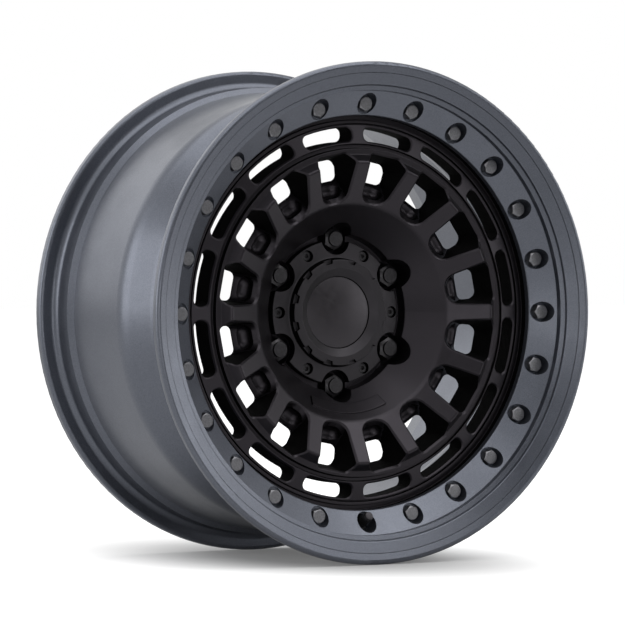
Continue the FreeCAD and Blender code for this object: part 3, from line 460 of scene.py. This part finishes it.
def core_spring():
    """A round wire carried up a helix, from the core's ledge to the pin's button."""
    steps = np.linspace(0.0, 1.0, SPRING_TURNS * SPRING_STEPS + 1)[:, None]
    about = np.arange(SPRING_WIRE_SIDES) / SPRING_WIRE_SIDES * 2 * math.pi
    height = SPRING_LOW + steps * (SPRING_TOP - SPRING_LOW) + SPRING_WIRE_R * np.sin(about)
    r = np.broadcast_to(SPRING_R + SPRING_WIRE_R * np.cos(about), height.shape)
    turn = np.broadcast_to(steps * SPRING_TURNS * 2 * math.pi, height.shape)
    return capped(round_stem(r, turn, height))


thread = closed_piece("stem_thread", stem_thread(), coated_brass, 25.0)
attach(thread, "wheel")
cap_skin = cap_moulding("valve_cap_black", (0.012, 0.012, 0.012), (0.02, 0.02, 0.02), 0.4)
grip_cap = closed_piece("valve_cap_fluted", fluted_cap(), cap_skin, 40.0)
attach(grip_cap, "cap")
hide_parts("valve_cap")
spring_steel = plated_metal("spring_steel", (0.4, 0.4, 0.41), (0.55, 0.55, 0.56), 0.3)
coil = closed_piece("core_spring_coil", core_spring(), spring_steel, 60.0)
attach(coil, "wheel")
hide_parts("valve_core_spring")
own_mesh(coil)


# Stage
# A white studio: a wide pale floor under the wheel, a white surround, and soft boxes above, behind, at both
# sides and in front.
# The camera stands almost level with the hub and thirty degrees off the axis.

CAMERA_TURN_DEG = 30.0
CAMERA_RISE_DEG = 0.66
CAMERA_DISTANCE = 3.948
CAMERA_ACROSS = -0.0008
CAMERA_UP = -0.0006
LENS_MM = 237.2
SENSOR_MM = 36.0
VIEW_REACH = 100.0
FLOOR_SIZE = 40.0
FLOOR_GREY = (0.5, 0.5, 0.5, 1.0)
WHITE = (1.0, 1.0, 1.0, 1.0)
DARK_SIDE = (0.1, -0.99, 0.0)
DARK_SIDE_ENDS = (0.45, 0.95)
DARK_SIDE_MIRRORED = (1.0, 0.04)
ROOM_LIGHT = 0.22
CONTACT_STRETCH = (1.0, 0.6, 0.0)
CONTACT_ENDS = (0.05, 0.26)
CONTACT_GLOW = (0.1, 1.0)
FLOOR_DIM_ENDS = (-1.3, -0.4)
FLOOR_MIRRORED = (0.03, 0.5)
scene = bpy.context.scene


def by_ray(tree, camera, mirror, lit):
    """A strength by what meets it: camera rays, rays from mirrors and glass, and the light on the object.
    Each is a number or a socket."""
    path = tree.nodes.new("ShaderNodeLightPath")
    both = tree.nodes.new("ShaderNodeMath")
    both.operation = "MAXIMUM"
    tree.links.new(path.outputs["Is Glossy Ray"], both.inputs[0])
    tree.links.new(path.outputs["Is Transmission Ray"], both.inputs[1])
    result = lit
    for ray, strength in ((both.outputs["Value"], mirror), (path.outputs["Is Camera Ray"], camera)):
        choose = tree.nodes.new("ShaderNodeMapRange")
        tree.links.new(ray, choose.inputs["Value"])
        for end, value in (("To Min", result), ("To Max", strength)):
            if isinstance(value, float):
                choose.inputs[end].default_value = value
            else:
                tree.links.new(value, choose.inputs[end])
        result = choose.outputs["Result"]
    return result


def falloff(tree, value, ends, strengths):
    """A strength that changes smoothly between two ends of a measured value."""
    ramp = tree.nodes.new("ShaderNodeMapRange")
    ramp.interpolation_type = "SMOOTHSTEP"
    for socket, number in zip(("From Min", "From Max", "To Min", "To Max"), (*ends, *strengths)):
        ramp.inputs[socket].default_value = number
    tree.links.new(value, ramp.inputs["Value"])
    return ramp.outputs["Result"]


# The room is white to the camera. In reflections it dims, with its floor, towards the unlit end by the
# camera.
world = bpy.data.worlds.new("studio")
scene.world = world
world.use_nodes = True
room = world.node_tree
aim = room.nodes.new("ShaderNodeTexCoord")
dark_side = room.nodes.new("ShaderNodeVectorMath")
dark_side.operation = "DOT_PRODUCT"
dark_side.inputs[1].default_value = DARK_SIDE
room.links.new(aim.outputs["Generated"], dark_side.inputs[0])
walls = falloff(room, dark_side.outputs["Value"], DARK_SIDE_ENDS, DARK_SIDE_MIRRORED)
backdrop = room.nodes["Background"]
backdrop.inputs["Color"].default_value = WHITE
room.links.new(by_ray(room, 1.0, walls, ROOM_LIGHT), backdrop.inputs["Strength"])

# The floor glows white to the camera. Near where the rim stands on it the glow fades out, a painted
# contact shadow over the real shadow that the lamps cast on the floor.
floor_z = cad_box[0][2]
floor_mesh = bpy.data.meshes.new("floor")
half = FLOOR_SIZE / 2
floor_mesh.from_pydata(
    [(-half, -half, floor_z), (half, -half, floor_z), (half, half, floor_z), (-half, half, floor_z)],
    [],
    [(0, 1, 2, 3)],
)
floor = bpy.data.objects.new("floor", floor_mesh)
scene.collection.objects.link(floor)
floor_paint = bpy.data.materials.new("floor_white")
floor_paint.use_nodes = True
tree = floor_paint.node_tree
shader = tree.nodes["Principled BSDF"]
shader.inputs["Base Color"].default_value = FLOOR_GREY
shader.inputs["Roughness"].default_value = 1.0
shader.inputs["Specular IOR Level"].default_value = 0.0
shader.inputs["Emission Color"].default_value = WHITE
place = tree.nodes.new("ShaderNodeTexCoord").outputs["Object"]
flat = tree.nodes.new("ShaderNodeVectorMath")
flat.operation = "MULTIPLY"
flat.inputs[1].default_value = CONTACT_STRETCH
tree.links.new(place, flat.inputs[0])
spot = tree.nodes.new("ShaderNodeVectorMath")
spot.operation = "LENGTH"
tree.links.new(flat.outputs["Vector"], spot.inputs[0])
glow = falloff(tree, spot.outputs["Value"], CONTACT_ENDS, CONTACT_GLOW)
depth = tree.nodes.new("ShaderNodeSeparateXYZ")
tree.links.new(place, depth.inputs[0])
mirrored = tree.nodes.new("ShaderNodeMath")
mirrored.operation = "MULTIPLY"
tree.links.new(glow, mirrored.inputs[0])
dimmed = falloff(tree, depth.outputs["Y"], FLOOR_DIM_ENDS, FLOOR_MIRRORED)
tree.links.new(dimmed, mirrored.inputs[1])
tree.links.new(by_ray(tree, glow, mirrored.outputs["Value"], 0.0), shader.inputs["Emission Strength"])
floor_mesh.materials.append(floor_paint)


def soft_box(name, place, width, height, power):
    """Area lamp at a place, turned to the wheel."""
    lamp = bpy.data.lights.new(name, "AREA")
    lamp.shape = "RECTANGLE"
    lamp.size = width
    lamp.size_y = height
    lamp.energy = power
    box = bpy.data.objects.new(name, lamp)
    box.location = place
    box.rotation_euler = (-Vector(place)).to_track_quat("-Z", "Y").to_euler()
    scene.collection.objects.link(box)


soft_box("top_box", (0.2, 0.1, 2.8), 3.2, 3.2, 38.0)
soft_box("back_box", (-0.75, 2.2, 0.9), 1.6, 1.6, 6.0)
soft_box("left_box", (-2.6, 0.3, 0.7), 1.8, 1.8, 20.0)
soft_box("front_box", (1.3, -1.9, 1.9), 1.8, 1.8, 20.0)
soft_box("high_box", (-0.6, -1.9, 2.1), 1.0, 1.0, 5.0)
soft_box("key_box", (-0.75, -2.75, 0.02), 1.9, 0.6, 10.0)
soft_box("right_box", (2.2, -1.7, 0.2), 1.2, 1.2, 8.0)

turn = math.radians(CAMERA_TURN_DEG)
rise = math.radians(CAMERA_RISE_DEG)
forward = Vector((math.sin(turn) * math.cos(rise), math.cos(turn) * math.cos(rise), -math.sin(rise)))
across = Vector((math.cos(turn), -math.sin(turn), 0.0))
upward = across.cross(forward)
camera = bpy.data.cameras.new("camera")
camera.sensor_width = SENSOR_MM
camera.lens = LENS_MM
camera.clip_end = VIEW_REACH
viewer = bpy.data.objects.new("camera", camera)
viewer.location = -CAMERA_DISTANCE * forward + CAMERA_ACROSS * across + CAMERA_UP * upward
viewer.rotation_euler = forward.to_track_quat("-Z", "Y").to_euler()
scene.collection.objects.link(viewer)
scene.camera = viewer
scene.view_settings.view_transform = "Standard"
